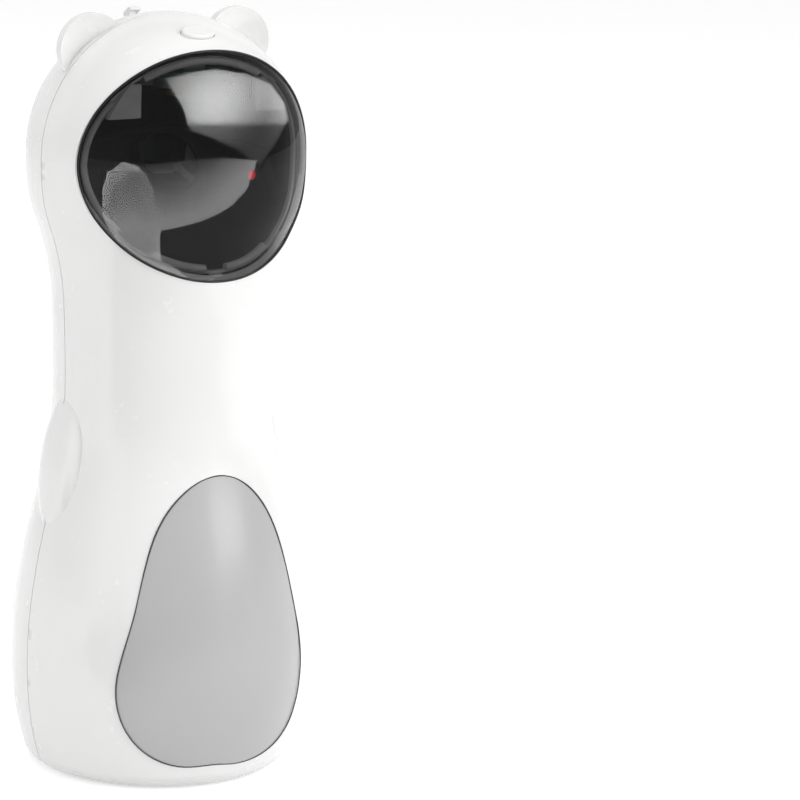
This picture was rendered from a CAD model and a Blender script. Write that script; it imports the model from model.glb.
# %% [markdown]
# An automatic laser toy for pets, dressed for its portrait.
# The toy is a glossy white figure that swells at the foot and at the head, with a smoked dome for a face.
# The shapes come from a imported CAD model, so this lesson is about finishes, light and a few fine pieces.

# %% Load the frame
import bpy
import math
import numpy as np
from mathutils import Matrix, Vector


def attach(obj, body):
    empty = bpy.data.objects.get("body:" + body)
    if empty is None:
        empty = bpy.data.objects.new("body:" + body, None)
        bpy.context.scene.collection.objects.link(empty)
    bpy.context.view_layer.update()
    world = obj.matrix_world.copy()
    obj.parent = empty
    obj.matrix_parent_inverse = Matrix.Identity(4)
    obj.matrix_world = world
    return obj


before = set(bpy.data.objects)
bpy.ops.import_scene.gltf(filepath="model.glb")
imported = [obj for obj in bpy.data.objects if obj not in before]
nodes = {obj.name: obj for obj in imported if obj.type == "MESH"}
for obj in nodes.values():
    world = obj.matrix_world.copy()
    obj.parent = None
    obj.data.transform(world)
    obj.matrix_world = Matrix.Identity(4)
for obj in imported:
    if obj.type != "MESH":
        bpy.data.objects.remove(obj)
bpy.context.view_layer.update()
scene = bpy.context.scene
scene.view_settings.view_transform = "Standard"
print("nodes in the frame:", len(nodes))

# %% [markdown]
# The photograph was taken from a long way off with a long lens, a little to the left and above.
# The camera is placed by its three axes, which were measured on the outline of the body, and not by
# pointing it at the object, because the toy stands at the left of the picture.

# %% Camera
MM = 0.001
eye = Vector((-535.20, -961.02, 338.85)) * MM
right = Vector((0.84651, -0.53164, 0.02784))
up = Vector((0.08935, 0.19344, 0.97703))
ahead = Vector((0.52482, 0.82459, -0.21125))

camera_data = bpy.data.cameras.new("camera")
camera_data.sensor_width = 36.0
camera_data.lens = 186.68
camera_data.clip_end = 50.0
camera = bpy.data.objects.new("camera", camera_data)
scene.collection.objects.link(camera)
turn = Matrix((right, up, -ahead)).transposed()
camera.matrix_world = Matrix.Translation(eye) @ turn.to_4x4()
scene.camera = camera
print("camera is", round(eye.length, 3), "m from the foot")

# %% [markdown]
# Studio light for white plastic is mostly large and soft. A white object on a white ground shows its
# form only where it is a little darker than the paper, so one broad lamp at the right front does most
# of the work and the left side falls off gently.

# %% World
OFF_CAMERA_STRENGTH = 0.62
SEEN_STRENGTH = 1.0


def math_node(tree, operation, *values):
    """Math node whose sockets take the values in order: a float is set, an output is linked."""
    node = tree.nodes.new("ShaderNodeMath")
    node.operation = operation
    for socket, value in zip(node.inputs, values):
        if isinstance(value, float):
            socket.default_value = value
        else:
            tree.links.new(value, socket)
    return node.outputs[0]


world = bpy.data.worlds.new("studio")
scene.world = world
world.use_nodes = True
sky = world.node_tree
sky.nodes.clear()
sky_rays = sky.nodes.new("ShaderNodeLightPath").outputs
sky_seen = math_node(sky, "MAXIMUM", sky_rays["Is Camera Ray"], sky_rays["Is Transmission Ray"])
sky_strength = sky.nodes.new("ShaderNodeMapRange")
sky_strength.inputs["To Min"].default_value = OFF_CAMERA_STRENGTH
sky_strength.inputs["To Max"].default_value = SEEN_STRENGTH
background = sky.nodes.new("ShaderNodeBackground")
world_out = sky.nodes.new("ShaderNodeOutputWorld")
sky.links.new(sky_seen, sky_strength.inputs["Value"])
sky.links.new(sky_strength.outputs["Result"], background.inputs["Strength"])
sky.links.new(background.outputs[0], world_out.inputs["Surface"])
print("world strength off camera:", OFF_CAMERA_STRENGTH)

# %% [markdown]
# The key lamp leaves the dome out, or it would show there as one hard patch; the dome gets its own cards
# further on. The fill and the top lamp light the toy but don't show in anything glossy.


# %% Lamps
def softbox(name, place, target, width, height, power):
    """Area lamp at place, turned to face target; its power is in watts."""
    data = bpy.data.lights.new(name, "AREA")
    data.shape = "RECTANGLE"
    data.size = width
    data.size_y = height
    data.energy = power
    lamp = bpy.data.objects.new(name, data)
    scene.collection.objects.link(lamp)
    lamp.location = place
    lamp.rotation_euler = (Vector(target) - Vector(place)).to_track_quat("-Z", "Y").to_euler()
    return lamp


middle = (0.0, 0.0, 0.11)
key_right = softbox("key_right", (0.80, -1.15, 0.75), middle, width=0.9, height=1.1, power=15.5)
fill_left = softbox("fill_left", (-1.2, -0.3, 0.5), middle, width=0.5, height=1.2, power=5.8)
top_soft = softbox("top_soft", (-0.1, 0.1, 1.4), middle, width=1.0, height=1.0, power=4.6)
fill_left.visible_glossy = False
top_soft.visible_glossy = False
lit_by_key = bpy.data.collections.new("lit_by_key")
lit_by_key.objects.link(nodes["dome"])
key_right.light_linking.receiver_collection = lit_by_key
lit_by_key.collection_objects[0].light_linking.link_state = "EXCLUDE"

# %% [markdown]
# The ground is one sheet of pale paper that curls up behind the toy. Its paper is lit by the lamps, so it
# keeps the contact shadow, and a little of its own brightness brings the open paper up to white.


# %% Helpers for surfaces
def surface(name, points, faces):
    """Smooth-shaded mesh from an array of points (n, 3) and an array of faces (m, 3 or 4)."""
    mesh = bpy.data.meshes.new(name)
    mesh.from_pydata([tuple(p) for p in points], [], [tuple(int(i) for i in f) for f in faces])
    mesh.polygons.foreach_set("use_smooth", np.ones(len(mesh.polygons), dtype=bool))
    mesh.update()
    piece = bpy.data.objects.new(name, mesh)
    scene.collection.objects.link(piece)
    return piece


def grid_faces(rows, columns, closed_rows=False, closed_columns=False):
    """Quads of a grid stored row by row: a point, its right, its upper right and its upper neighbour."""
    r = np.arange(rows if closed_rows else rows - 1)
    c = np.arange(columns if closed_columns else columns - 1)
    r, c = np.meshgrid(r, c, indexing="ij")
    r2, c2 = (r + 1) % rows, (c + 1) % columns
    quads = [r * columns + c, r * columns + c2, r2 * columns + c2, r2 * columns + c]
    return np.stack(quads, axis=-1).reshape(-1, 4)


print("a grid of 2 by 3 points has", len(grid_faces(2, 3)), "faces")

# %% Paper ground
FLOOR_REACH = 3.0
FLOOR_POINTS = 7
BEND_RADIUS = 1.0
BEND_POINTS = 16
WALL_HEIGHTS = [2.0, 3.0, 4.0]
PAPER_HALF_WIDTH = 5.0
PAPER_COLUMNS = 3


def paper_sweep():
    """Floor, then a quarter circle at angle a (y = reach + r sin a, z = r (1 - cos a)), then a wall."""
    floor = np.linspace(-FLOOR_REACH, FLOOR_REACH, FLOOR_POINTS)
    bend = np.linspace(0, math.pi / 2, BEND_POINTS)[1:]
    wall = np.array(WALL_HEIGHTS)
    wall_y = np.full(len(wall), FLOOR_REACH + BEND_RADIUS)
    y = np.concatenate([floor, FLOOR_REACH + BEND_RADIUS * np.sin(bend), wall_y])
    z = np.concatenate([np.zeros(FLOOR_POINTS), BEND_RADIUS * (1.0 - np.cos(bend)), wall])
    x = np.linspace(-PAPER_HALF_WIDTH, PAPER_HALF_WIDTH, PAPER_COLUMNS)
    grid_x, grid_y = np.meshgrid(x, y)
    grid_z = np.repeat(z[:, None], PAPER_COLUMNS, axis=1)
    points = np.stack([grid_x, grid_y, grid_z], axis=-1).reshape(-1, 3)
    return surface("paper_ground", points, grid_faces(len(y), PAPER_COLUMNS))


paper = paper_sweep()
print("paper faces:", len(paper.data.polygons))

# %% Paper finish
PAPER_GLOW = 0.52
FIBRE_SCALE = 60.0
FIBRE_DARK = 0.78
FIBRE_LIGHT = 0.82

paper_finish = bpy.data.materials.new("paper")
paper_finish.use_nodes = True
sheet = paper_finish.node_tree
sheet.nodes.clear()
sheet_rays = sheet.nodes.new("ShaderNodeLightPath").outputs
sheet_seen = math_node(sheet, "MAXIMUM", sheet_rays["Is Camera Ray"], sheet_rays["Is Glossy Ray"])
sheet_seen = math_node(sheet, "MAXIMUM", sheet_seen, sheet_rays["Is Transmission Ray"])
glow_amount = math_node(sheet, "MULTIPLY", sheet_seen, PAPER_GLOW)
fibre = sheet.nodes.new("ShaderNodeTexNoise")
fibre.inputs["Scale"].default_value = FIBRE_SCALE
fibre_tone = sheet.nodes.new("ShaderNodeMapRange")
fibre_tone.inputs["To Min"].default_value = FIBRE_DARK
fibre_tone.inputs["To Max"].default_value = FIBRE_LIGHT
paper_coords = sheet.nodes.new("ShaderNodeTexCoord")
diffuse = sheet.nodes.new("ShaderNodeBsdfDiffuse")
emission = sheet.nodes.new("ShaderNodeEmission")
both = sheet.nodes.new("ShaderNodeAddShader")
paper_out = sheet.nodes.new("ShaderNodeOutputMaterial")
sheet.links.new(glow_amount, emission.inputs["Strength"])
sheet.links.new(paper_coords.outputs["Object"], fibre.inputs["Vector"])
sheet.links.new(fibre.outputs["Fac"], fibre_tone.inputs["Value"])
sheet.links.new(fibre_tone.outputs["Result"], diffuse.inputs["Color"])
sheet.links.new(diffuse.outputs[0], both.inputs[0])
sheet.links.new(emission.outputs[0], both.inputs[1])
sheet.links.new(both.outputs[0], paper_out.inputs["Surface"])
paper.data.materials.append(paper_finish)
print("paper glows at", PAPER_GLOW, "where it is seen")

# %% [markdown]
# Most parts of the toy are injection moulded. Up close a moulding is never one flat colour: the pigment
# drifts a little, the gloss has a faint orange peel from the mould, and fine dust dulls it here and there.
# One helper builds that family of finishes from noise on Object coordinates, in metres.


# %% Helpers for moulded plastics and plain metals
NOISE_ROUGHNESS = 0.55
NOISE_LOW = 0.3
NOISE_HIGH = 0.7
CLOUD_SCALE = 45.0
DUST_SCALE = 160.0
COAT_ROUGHNESS = 0.08


def node_material(name):
    """Empty node material with its Principled shader, output and object coordinates."""
    material = bpy.data.materials.new(name)
    material.use_nodes = True
    tree = material.node_tree
    tree.nodes.clear()
    shader = tree.nodes.new("ShaderNodeBsdfPrincipled")
    out = tree.nodes.new("ShaderNodeOutputMaterial")
    coords = tree.nodes.new("ShaderNodeTexCoord")
    tree.links.new(shader.outputs[0], out.inputs["Surface"])
    return material, tree, shader, coords


def noise(tree, coords, scale, detail):
    """Noise texture on object coordinates, with scale in cycles per metre."""
    node = tree.nodes.new("ShaderNodeTexNoise")
    node.inputs["Scale"].default_value = scale
    node.inputs["Detail"].default_value = detail
    node.inputs["Roughness"].default_value = NOISE_ROUGHNESS
    tree.links.new(coords.outputs["Object"], node.inputs["Vector"])
    return node


def spread(tree, value, low, high):
    """Map the range where most of a noise lies, 0.3 to 0.7, onto low to high."""
    node = tree.nodes.new("ShaderNodeMapRange")
    node.inputs["From Min"].default_value = NOISE_LOW
    node.inputs["From Max"].default_value = NOISE_HIGH
    node.inputs["To Min"].default_value = low
    node.inputs["To Max"].default_value = high
    tree.links.new(value, node.inputs["Value"])
    return node


def two_tone(tree, value, dark, light):
    """Mix of two colours by a noise value."""
    node = tree.nodes.new("ShaderNodeMix")
    node.data_type = "RGBA"
    node.inputs["A"].default_value = (*dark, 1.0)
    node.inputs["B"].default_value = (*light, 1.0)
    tree.links.new(value, node.inputs["Factor"])
    return node


def bumps(tree, shader, height, distance):
    """Bump from a height value; distance is the real depth in metres."""
    node = tree.nodes.new("ShaderNodeBump")
    node.inputs["Distance"].default_value = distance
    node.inputs["Strength"].default_value = 1.0
    tree.links.new(height, node.inputs["Height"])
    tree.links.new(node.outputs[0], shader.inputs["Normal"])


def moulding(name, colour, drift, roughness, roughness_drift, peel_scale, peel_depth, coat=0.0, metal=0.0):
    """Moulded or drawn finish: tone = colour (1 +- drift), roughness +- its drift, and a fine peel."""
    material, tree, shader, coords = node_material(name)
    cloud = noise(tree, coords, CLOUD_SCALE, detail=2.0)
    dark = tuple(c * (1.0 - drift) for c in colour)
    light = tuple(min(1.0, c * (1.0 + drift)) for c in colour)
    tone = two_tone(tree, spread(tree, cloud.outputs["Fac"], 0.0, 1.0).outputs["Result"], dark, light)
    tree.links.new(tone.outputs["Result"], shader.inputs["Base Color"])
    dust = noise(tree, coords, DUST_SCALE, detail=4.0)
    dull = spread(tree, dust.outputs["Fac"], roughness - roughness_drift, roughness + roughness_drift)
    tree.links.new(dull.outputs["Result"], shader.inputs["Roughness"])
    peel = noise(tree, coords, peel_scale, detail=2.0)
    bumps(tree, shader, peel.outputs["Fac"], peel_depth)
    shader.inputs["Metallic"].default_value = metal
    shader.inputs["Coat Weight"].default_value = coat
    shader.inputs["Coat Roughness"].default_value = COAT_ROUGHNESS
    return material


def dress(finish, *names):
    """Give these CAD nodes one finish in every slot."""
    for name in names:
        slots = nodes[name].data.materials
        if not len(slots):
            slots.append(finish)
        for i in range(len(slots)):
            slots[i] = finish
    print(finish.name, "on", ", ".join(names))


print("a finish spreads its noise from", NOISE_LOW, "to", NOISE_HIGH)

# %% [markdown]
# The housing is glossy white ABS. Its peel is very shallow, and a thin clear coat tightens its highlights.


# %% White housing
def white_abs(name):
    """Glossy white ABS: hardly any drift in tone, a shallow peel and a thin clear coat."""
    return moulding(name, (0.80, 0.80, 0.795), drift=0.008, roughness=0.24, roughness_drift=0.04,
                    peel_scale=420.0, peel_depth=0.000010, coat=0.35)


white_gloss = white_abs("white_gloss_abs")
dress(white_gloss, "battery_cover", "mode_button")

# %% [markdown]
# The two body halves are white outside, but inside the head they are masked black, or the dome would
# look milky. One finish does both: in the head the distance from its middle tells the inner wall from the
# skin, and in the neck below it the inner wall is what faces the axis of the body.

# %% Body halves, black inside the head
HEAD_HEIGHT = 167.8
HEAD_MIDDLE = Vector((0.0, 0.0, HEAD_HEIGHT)) * MM
MASK_RADIUS = 36.4 * MM
MASK_FADE = 0.05 * MM
MASK_BLACK = (0.012, 0.012, 0.013, 1.0)

masked_white = white_abs("masked_white_abs")
mask_tree = masked_white.node_tree
mask_shader = [n for n in mask_tree.nodes if n.type == "BSDF_PRINCIPLED"][0]
mask_coords = [n for n in mask_tree.nodes if n.type == "TEX_COORD"][0]
white_tone = mask_shader.inputs["Base Color"].links[0].from_socket
from_middle = mask_tree.nodes.new("ShaderNodeVectorMath")
from_middle.operation = "DISTANCE"
from_middle.inputs[1].default_value = HEAD_MIDDLE
outside = mask_tree.nodes.new("ShaderNodeMapRange")
outside.inputs["From Min"].default_value = MASK_RADIUS - MASK_FADE
outside.inputs["From Max"].default_value = MASK_RADIUS + MASK_FADE
mask_tree.links.new(mask_coords.outputs["Object"], from_middle.inputs[0])
mask_tree.links.new(from_middle.outputs["Value"], outside.inputs["Value"])
print("black within", round(MASK_RADIUS / MM, 1), "mm of the head's middle")

# %% Body halves, black inside the neck
NECK_MIDDLE = 140.0 * MM
NECK_HALF_HEIGHT = 28.0 * MM
FACING_LEAST = -0.001

place = mask_tree.nodes.new("ShaderNodeSeparateXYZ")
flat_place = mask_tree.nodes.new("ShaderNodeCombineXYZ")
facing = mask_tree.nodes.new("ShaderNodeVectorMath")
facing.operation = "DOT_PRODUCT"
mask_tree.links.new(mask_coords.outputs["Object"], place.inputs[0])
mask_tree.links.new(place.outputs["X"], flat_place.inputs["X"])
mask_tree.links.new(place.outputs["Y"], flat_place.inputs["Y"])
mask_tree.links.new(flat_place.outputs[0], facing.inputs[0])
mask_tree.links.new(mask_coords.outputs["Normal"], facing.inputs[1])
faces_out = math_node(mask_tree, "GREATER_THAN", facing.outputs["Value"], FACING_LEAST)
in_neck = math_node(mask_tree, "COMPARE", place.outputs["Z"], NECK_MIDDLE, NECK_HALF_HEIGHT)
not_neck = math_node(mask_tree, "SUBTRACT", 1.0, in_neck)
skin_side = math_node(mask_tree, "MAXIMUM", faces_out, not_neck)
white_share = math_node(mask_tree, "MULTIPLY", skin_side, outside.outputs["Result"])
masked_tone = mask_tree.nodes.new("ShaderNodeMix")
masked_tone.data_type = "RGBA"
masked_tone.inputs["A"].default_value = MASK_BLACK
mask_tree.links.new(white_share, masked_tone.inputs["Factor"])
mask_tree.links.new(white_tone, masked_tone.inputs["B"])
mask_tree.links.new(masked_tone.outputs["Result"], mask_shader.inputs["Base Color"])
dress(masked_white, "front_shell", "rear_shell")

# %% [markdown]
# The belly panel is a separate grey moulding with a softer gloss than the housing.

# %% Belly panel
belly_grey = moulding("belly_grey", (0.44, 0.44, 0.445), drift=0.012, roughness=0.34, roughness_drift=0.05,
                      peel_scale=500.0, peel_depth=0.000008, coat=0.12)
dress(belly_grey, "belly_panel")

# %% [markdown]
# The dome is smoked acrylic. Light passes through it and loses most of its strength, and its polished
# skin mirrors the cards that stand round it. A dark base colour with partial alpha does both: what lies
# behind is dimmed and the reflections stay on the outside.

# %% Smoked dome
SMOKE_DARK = (0.004, 0.004, 0.0045)
SMOKE_LIGHT = (0.007, 0.0065, 0.007)

smoked, smoke_tree, smoke, smoke_coords = node_material("smoked_acrylic")
smoke_cloud = noise(smoke_tree, smoke_coords, scale=30.0, detail=2.0)
smoke_tone = two_tone(smoke_tree, smoke_cloud.outputs["Fac"], SMOKE_DARK, SMOKE_LIGHT)
smoke_tree.links.new(smoke_tone.outputs["Result"], smoke.inputs["Base Color"])
smear = noise(smoke_tree, smoke_coords, scale=220.0, detail=4.0)
smear_gloss = spread(smoke_tree, smear.outputs["Fac"], low=0.02, high=0.05)
smoke_tree.links.new(smear_gloss.outputs["Result"], smoke.inputs["Roughness"])
smoke.inputs["IOR"].default_value = 1.49
smoke.inputs["Specular IOR Level"].default_value = 0.2
smoke.inputs["Alpha"].default_value = 0.58
nodes["dome"].visible_shadow = False
dress(smoked, "dome")

# %% [markdown]
# The laser lights a small spot in the acrylic where it leaves the toy. The spot is a red glow that fades
# with the distance from one point of the skin, so it stays with the dome in every view.

# %% Laser spot
spot_place = Vector((5.18, -37.02, 166.55)) * MM
spot_radius = 1.5 * MM
spot_core = 0.45
spot_glow = 0.62
spot_offset = smoke_tree.nodes.new("ShaderNodeVectorMath")
spot_offset.operation = "DISTANCE"
spot_offset.inputs[1].default_value = spot_place
spot_fade = smoke_tree.nodes.new("ShaderNodeMapRange")
spot_fade.interpolation_type = "SMOOTHSTEP"
spot_fade.inputs["From Min"].default_value = spot_radius
spot_fade.inputs["From Max"].default_value = spot_radius * spot_core
spot_fade.inputs["To Max"].default_value = spot_glow
smoke_tree.links.new(smoke_coords.outputs["Object"], spot_offset.inputs[0])
smoke_tree.links.new(spot_offset.outputs["Value"], spot_fade.inputs["Value"])
smoke_tree.links.new(spot_fade.outputs["Result"], smoke.inputs["Emission Strength"])
smoke.inputs["Emission Color"].default_value = (0.95, 0.012, 0.025, 1.0)
print("laser spot", round(spot_radius / MM, 2), "mm in radius")

# %% [markdown]
# A curved, polished dome shows the studio like a small mirror. Photographers place white cards where their
# mirror image falls on the right spot: follow the line of sight to the dome, bounce it off, and put the card
# out there. These cards are lit from themselves, light only the dome, and are hidden from the camera. Their
# outlines are in pixels of an 800 pixel square picture, so they hold for this camera alone.


# %% Reflection cards
DOME_CENTRE = np.array([0.0, 0.0, HEAD_HEIGHT]) * MM
DOME_RADIUS = 37.4 * MM
FOCAL = 4148.5
PICTURE_MIDDLE = 400.0
CARD_DISTANCE = 2.0
CARD_FLOOR = 0.004
LEAST_FALL = 1e-6
CARD_RINGS = 16
POINTS_PER_SIDE = 6
INNER_RING = 0.02


def card_points(pixels):
    """Bounce each line of sight off the dome's sphere: r = d - 2 (d.n) n, then go out along r."""
    across = (pixels[..., 0] - PICTURE_MIDDLE) / FOCAL
    rise = (PICTURE_MIDDLE - pixels[..., 1]) / FOCAL
    sight = np.array(ahead) + across[..., None] * np.array(right) + rise[..., None] * np.array(up)
    sight /= np.linalg.norm(sight, axis=-1, keepdims=True)
    offset = np.array(eye) - DOME_CENTRE
    half_b = (sight * offset).sum(-1)
    reach = -half_b - np.sqrt(np.maximum(half_b ** 2 - offset @ offset + DOME_RADIUS ** 2, 0.0))
    hit = np.array(eye) + reach[..., None] * sight
    normal = (hit - DOME_CENTRE) / DOME_RADIUS
    bounce = sight - 2.0 * (sight * normal).sum(-1)[..., None] * normal
    fall = np.minimum(bounce[..., 2], -LEAST_FALL)
    to_floor = (hit[..., 2] - CARD_FLOOR) / -fall
    length = np.where(bounce[..., 2] < 0.0, np.minimum(CARD_DISTANCE, to_floor), CARD_DISTANCE)
    return hit + length[..., None] * bounce


def reflection_card(name, outline, tone, strength):
    """Rings from an outline's middle, c + share (rim - c); tone(share, pixels) is each point's brightness."""
    rim = np.array(outline + outline[:1], dtype=float)
    steps = np.linspace(0, len(outline), len(outline) * POINTS_PER_SIDE + 1)[:-1]
    low = np.floor(steps).astype(int)
    rim = rim[low] + (steps - low)[:, None] * (rim[low + 1] - rim[low])
    share = np.linspace(INNER_RING, 1.0, CARD_RINGS)
    centre = rim.mean(axis=0)
    pixels = centre + share[:, None, None] * (rim - centre)
    points = card_points(pixels)
    card = surface(name, points.reshape(-1, 3), grid_faces(CARD_RINGS, len(rim), closed_columns=True))
    shine = card.data.attributes.new("shine", "FLOAT", "POINT")
    brightness = np.ascontiguousarray(tone(share[:, None], pixels), dtype=np.float32)
    shine.data.foreach_set("value", brightness.ravel())
    finish = bpy.data.materials.new(name)
    finish.use_nodes = True
    tree = finish.node_tree
    tree.nodes.clear()
    reading = tree.nodes.new("ShaderNodeAttribute")
    reading.attribute_name = "shine"
    power = math_node(tree, "MULTIPLY", reading.outputs["Fac"], strength)
    glow = tree.nodes.new("ShaderNodeEmission")
    end = tree.nodes.new("ShaderNodeOutputMaterial")
    tree.links.new(power, glow.inputs["Strength"])
    tree.links.new(glow.outputs[0], end.inputs["Surface"])
    card.data.materials.append(finish)
    card.visible_camera = False
    card.visible_diffuse = False
    card.visible_transmission = False
    card.visible_shadow = False
    card.light_linking.receiver_collection = dome_only
    print(name, "points", len(card.data.vertices))


def ease(value, start, end):
    """Smooth step: 0 at start, 1 at end, level at both."""
    t = np.clip((value - start) / (end - start), 0.0, 1.0)
    return t * t * (3.0 - 2.0 * t)


dome_only = bpy.data.collections.new("dome_only")
dome_only.objects.link(nodes["dome"])
print("the dome's mirror has a radius of", round(DOME_RADIUS / MM, 1), "mm")

# %% Window card
window_edge = [(164, 78), (174, 95), (182, 107), (189, 131), (207, 137), (236, 150), (261, 168),
               (277, 145), (290, 120), (286, 103), (272, 84), (248, 73), (215, 68), (186, 72)]
WINDOW_SILL = (127.0, 120.0)
WINDOW_CORE = (213.0, 103.0)
WINDOW_FADE = (2.0, 58.0)
BELOW_SILL = 0.28
FAR_FROM_CORE = 0.20
SOFT_RIM = 0.05


def window_tone(share, pixels):
    """Bright above a level sill, dimmer below it, fading away from one core, and soft at the very rim."""
    above = BELOW_SILL + (1.0 - BELOW_SILL) * ease(pixels[..., 1], *WINDOW_SILL)
    from_core = np.hypot(pixels[..., 0] - WINDOW_CORE[0], pixels[..., 1] - WINDOW_CORE[1])
    core = 1.0 - (1.0 - FAR_FROM_CORE) * ease(from_core, *WINDOW_FADE)
    return above * core * ease(1.0 - share, 0.0, SOFT_RIM)


reflection_card("window_card", window_edge, window_tone, strength=52.0)

# %% Table card
table_edge = [(104, 196), (115, 216), (143, 216), (174, 213), (200, 206), (223, 196), (248, 180), (258, 160),
              (225, 158), (185, 160), (145, 166), (115, 178)]
TABLE_LOWER_X = [104, 143, 174, 207, 248, 262]
TABLE_LOWER_Y = [214, 216, 213, 203, 180, 166]
TABLE_DEPTH = 50.0
TABLE_FAINT = 0.15


def table_tone(share, pixels):
    """Faint along the top, growing steadily towards the lower edge, where it stops at once."""
    lower = np.interp(pixels[..., 0], TABLE_LOWER_X, TABLE_LOWER_Y)
    return TABLE_FAINT + (1.0 - TABLE_FAINT) * ease(pixels[..., 1], lower - TABLE_DEPTH, lower)


reflection_card("table_card", table_edge, table_tone, strength=18.0)

# %% Round card
round_edge = [(123, 162), (108, 170), (102, 181), (103, 200), (110, 214), (120, 225), (142, 234), (160, 222),
              (163, 206), (153, 181), (140, 167)]
ROUND_BASE = 0.75
ROUND_RIM = (0.85, 0.97)


def round_tone(share, pixels):
    """Even tone with a slightly brighter rim."""
    share = np.broadcast_to(share, pixels.shape[:-1])
    return ROUND_BASE + (1.0 - ROUND_BASE) * ease(share, *ROUND_RIM)


reflection_card("round_card", round_edge, round_tone, strength=21.0)

# %% [markdown]
# Behind the smoked dome a pale ring already looks dark grey, and its raised lips catch the light. The
# shield behind it is black, with the mirror in its window.

# %% Dark parts behind the dome
ring_grey = moulding("ring_grey", (0.74, 0.74, 0.745), drift=0.03, roughness=0.30, roughness_drift=0.06,
                     peel_scale=700.0, peel_depth=0.00001, coat=0.1)
dress(ring_grey, "dome_ring")
shield_black = moulding("shield_black", (0.012, 0.012, 0.013), drift=0.10, roughness=0.42,
                        roughness_drift=0.08, peel_scale=900.0, peel_depth=0.00002)
dress(shield_black, "dome_shield", "gear_frame", "mirror_rotor", "motor_cap", "battery_tray",
      "board_parts", "socket_tongue", "switch_plunger")

# %% Mirror and metal
silver = moulding("mirror_silver", (0.82, 0.83, 0.84), drift=0.01, roughness=0.05, roughness_drift=0.01,
                  peel_scale=300.0, peel_depth=0.000002, metal=1.0)
dress(silver, "mirror")
steel = moulding("plated_steel", (0.56, 0.56, 0.57), drift=0.05, roughness=0.30, roughness_drift=0.08,
                 peel_scale=1500.0, peel_depth=0.00001, metal=1.0)
dress(steel, "rotor_axle", "idler_axle", "motor_shaft", "motor_can", "lever_pin", "housing_screws",
      "frame_screws", "battery_contacts", "battery_springs", "charge_socket", "tact_switch")
brass = moulding("turned_brass", (0.60, 0.40, 0.15), drift=0.06, roughness=0.28, roughness_drift=0.06,
                 peel_scale=1200.0, peel_depth=0.00001, metal=1.0)
dress(brass, "laser_barrel")

# %% Small plastics, boards, cells and feet
nylon = moulding("natural_nylon", (0.66, 0.64, 0.58), drift=0.03, roughness=0.40, roughness_drift=0.05,
                 peel_scale=800.0, peel_depth=0.00001)
dress(nylon, "idler_gear", "motor_pinion")
lever_white = moulding("lever_white", (0.72, 0.72, 0.72), drift=0.01, roughness=0.34, roughness_drift=0.05,
                       peel_scale=800.0, peel_depth=0.00001, coat=0.1)
dress(lever_white, "range_lever")
board_green = moulding("board_green", (0.02, 0.13, 0.05), drift=0.15, roughness=0.34, roughness_drift=0.08,
                       peel_scale=600.0, peel_depth=0.00002)
dress(board_green, "main_board", "charge_board", "switch_board")
cell_sleeve = moulding("cell_sleeve", (0.05, 0.05, 0.055), drift=0.10, roughness=0.30, roughness_drift=0.05,
                       peel_scale=300.0, peel_depth=0.00002, coat=0.2)
dress(cell_sleeve, "battery_cells")
foot_rubber = moulding("foot_rubber", (0.10, 0.10, 0.10), drift=0.12, roughness=0.75, roughness_drift=0.08,
                       peel_scale=2400.0, peel_depth=0.00003)
dress(foot_rubber, "foot_pads")
lens_glass = moulding("lens_glass", (0.35, 0.08, 0.08), drift=0.05, roughness=0.08, roughness_drift=0.02,
                      peel_scale=300.0, peel_depth=0.000002, coat=0.5)
dress(lens_glass, "laser_lens")

# %% [markdown]
# Two dark lines give the face and the belly their crisp edges: a thin black seal in the gap round the dome
# and the shadow gap round the belly panel. Both follow the outline of their CAD node, which is read from the
# mesh as the furthest point in each direction from the middle, and a fine round tube is carried along it.


# %% Outline of a node
EDGE_SAMPLES = 13
RIM_BAND = 0.25 * MM
BLUR = np.array([1.0, 2.0, 3.0, 2.0, 1.0]) / 9.0
BEAD_SIDES = 8


def outline_of(name, middle_x, middle_z, count):
    """Furthest point in each of count directions in the x-z plane, with its foremost y, then smoothed."""
    mesh = nodes[name].data
    points = np.empty(len(mesh.vertices) * 3)
    mesh.vertices.foreach_get("co", points)
    points = points.reshape(-1, 3)
    ends = np.empty(len(mesh.edges) * 2, dtype=int)
    mesh.edges.foreach_get("vertices", ends)
    share = np.linspace(0.0, 1.0, EDGE_SAMPLES)[:, None, None]
    points = (points[ends[0::2]] * (1.0 - share) + points[ends[1::2]] * share).reshape(-1, 3)
    off_x, off_z = points[:, 0] - middle_x, points[:, 2] - middle_z
    turn_of = np.arctan2(off_z, off_x) % (2.0 * math.pi)
    reach = np.hypot(off_x, off_z)
    sector = (turn_of / (2.0 * math.pi) * count).astype(int) % count
    furthest = np.zeros(count)
    np.maximum.at(furthest, sector, reach)
    edge = reach > furthest[sector] - RIM_BAND
    front = np.full(count, np.inf)
    np.minimum.at(front, sector[edge], points[edge, 1])
    turns = (np.arange(count) + 0.5) / count * 2.0 * math.pi
    known = np.isfinite(front)
    furthest = np.interp(turns, turns[known], furthest[known], period=2.0 * math.pi)
    front = np.interp(turns, turns[known], front[known], period=2.0 * math.pi)
    furthest = np.convolve(np.r_[furthest[-2:], furthest, furthest[:2]], BLUR, "valid")
    front = np.convolve(np.r_[front[-2:], front, front[:2]], BLUR, "valid")
    x = middle_x + furthest * np.cos(turns)
    z = middle_z + furthest * np.sin(turns)
    return np.stack([x, front, z], axis=-1)


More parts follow.
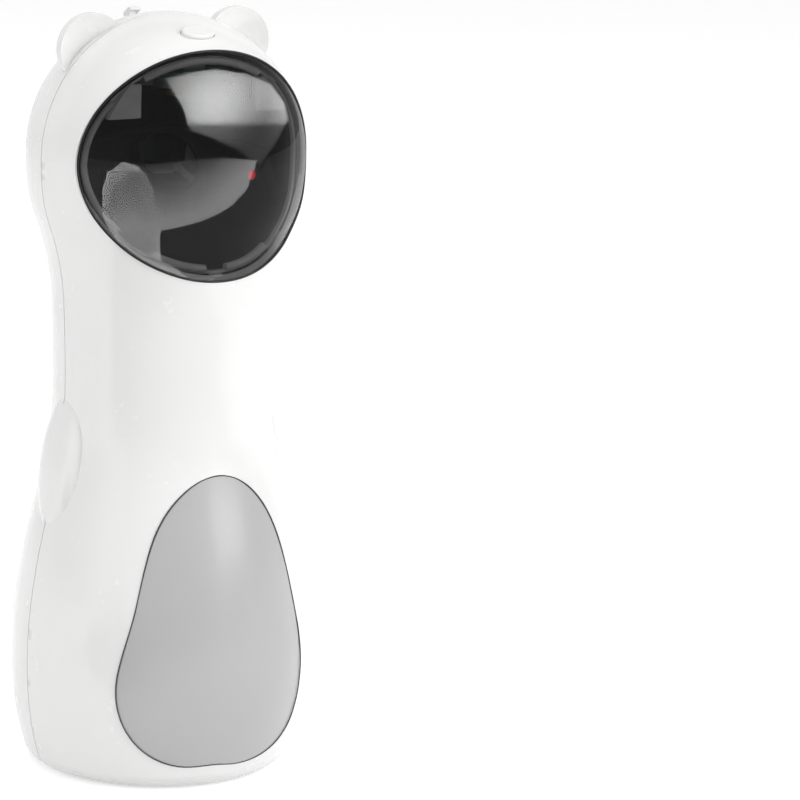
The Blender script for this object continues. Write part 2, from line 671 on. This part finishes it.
def bead_along(name, path, radius):
    """Closed tube: each point p of the path carries a circle p + r (cos a u + sin a w) square to the path."""
    forward = np.roll(path, -1, axis=0) - np.roll(path, 1, axis=0)
    forward /= np.linalg.norm(forward, axis=1, keepdims=True)
    side = np.cross(forward, np.array([0.0, 1.0, 0.0]))
    side /= np.linalg.norm(side, axis=1, keepdims=True)
    upward = np.cross(side, forward)
    turns = np.arange(BEAD_SIDES) / BEAD_SIDES * 2.0 * math.pi
    ring = np.cos(turns)[None, :, None] * side[:, None] + np.sin(turns)[None, :, None] * upward[:, None]
    points = path[:, None] + radius * ring
    faces = grid_faces(len(path), BEAD_SIDES, closed_rows=True, closed_columns=True)
    piece = surface(name, points.reshape(-1, 3), faces)
    first = piece.data.polygons[0]
    outward = np.array(first.center) - path[0]
    if np.dot(np.array(first.normal), outward) < 0:
        piece.data.flip_normals()
    length = float(np.linalg.norm(path - np.roll(path, 1, axis=0), axis=1).sum())
    print(name, "length", round(length / MM), "mm")
    return piece


print("an outline is smoothed over", len(BLUR), "points")

# %% Dome seal and belly gap
PATH_POINTS = 150
SEAL_DEPTH = 0.15 * MM
BELLY_MIDDLE = 45.0 * MM
BELLY_DEPTH = 0.10 * MM

seal_path = outline_of("dome", 0.0, HEAD_HEIGHT * MM, PATH_POINTS)
seal_path[:, 1] += SEAL_DEPTH
dome_seal = bead_along("dome_seal", seal_path, radius=0.34 * MM)
seal_black = moulding("seal_black", (0.010, 0.010, 0.011), drift=0.10, roughness=0.55, roughness_drift=0.08,
                      peel_scale=900.0, peel_depth=0.00001)
dome_seal.data.materials.append(seal_black)
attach(dome_seal, "housing")
belly_path = outline_of("belly_panel", 0.0, BELLY_MIDDLE, PATH_POINTS)
belly_path[:, 1] += BELLY_DEPTH
belly_gap = bead_along("belly_gap", belly_path, radius=0.17 * MM)
gap_grey = moulding("gap_grey", (0.06, 0.06, 0.062), drift=0.10, roughness=0.60, roughness_drift=0.08,
                    peel_scale=900.0, peel_depth=0.00001)
belly_gap.data.materials.append(gap_grey)
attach(belly_gap, "housing")
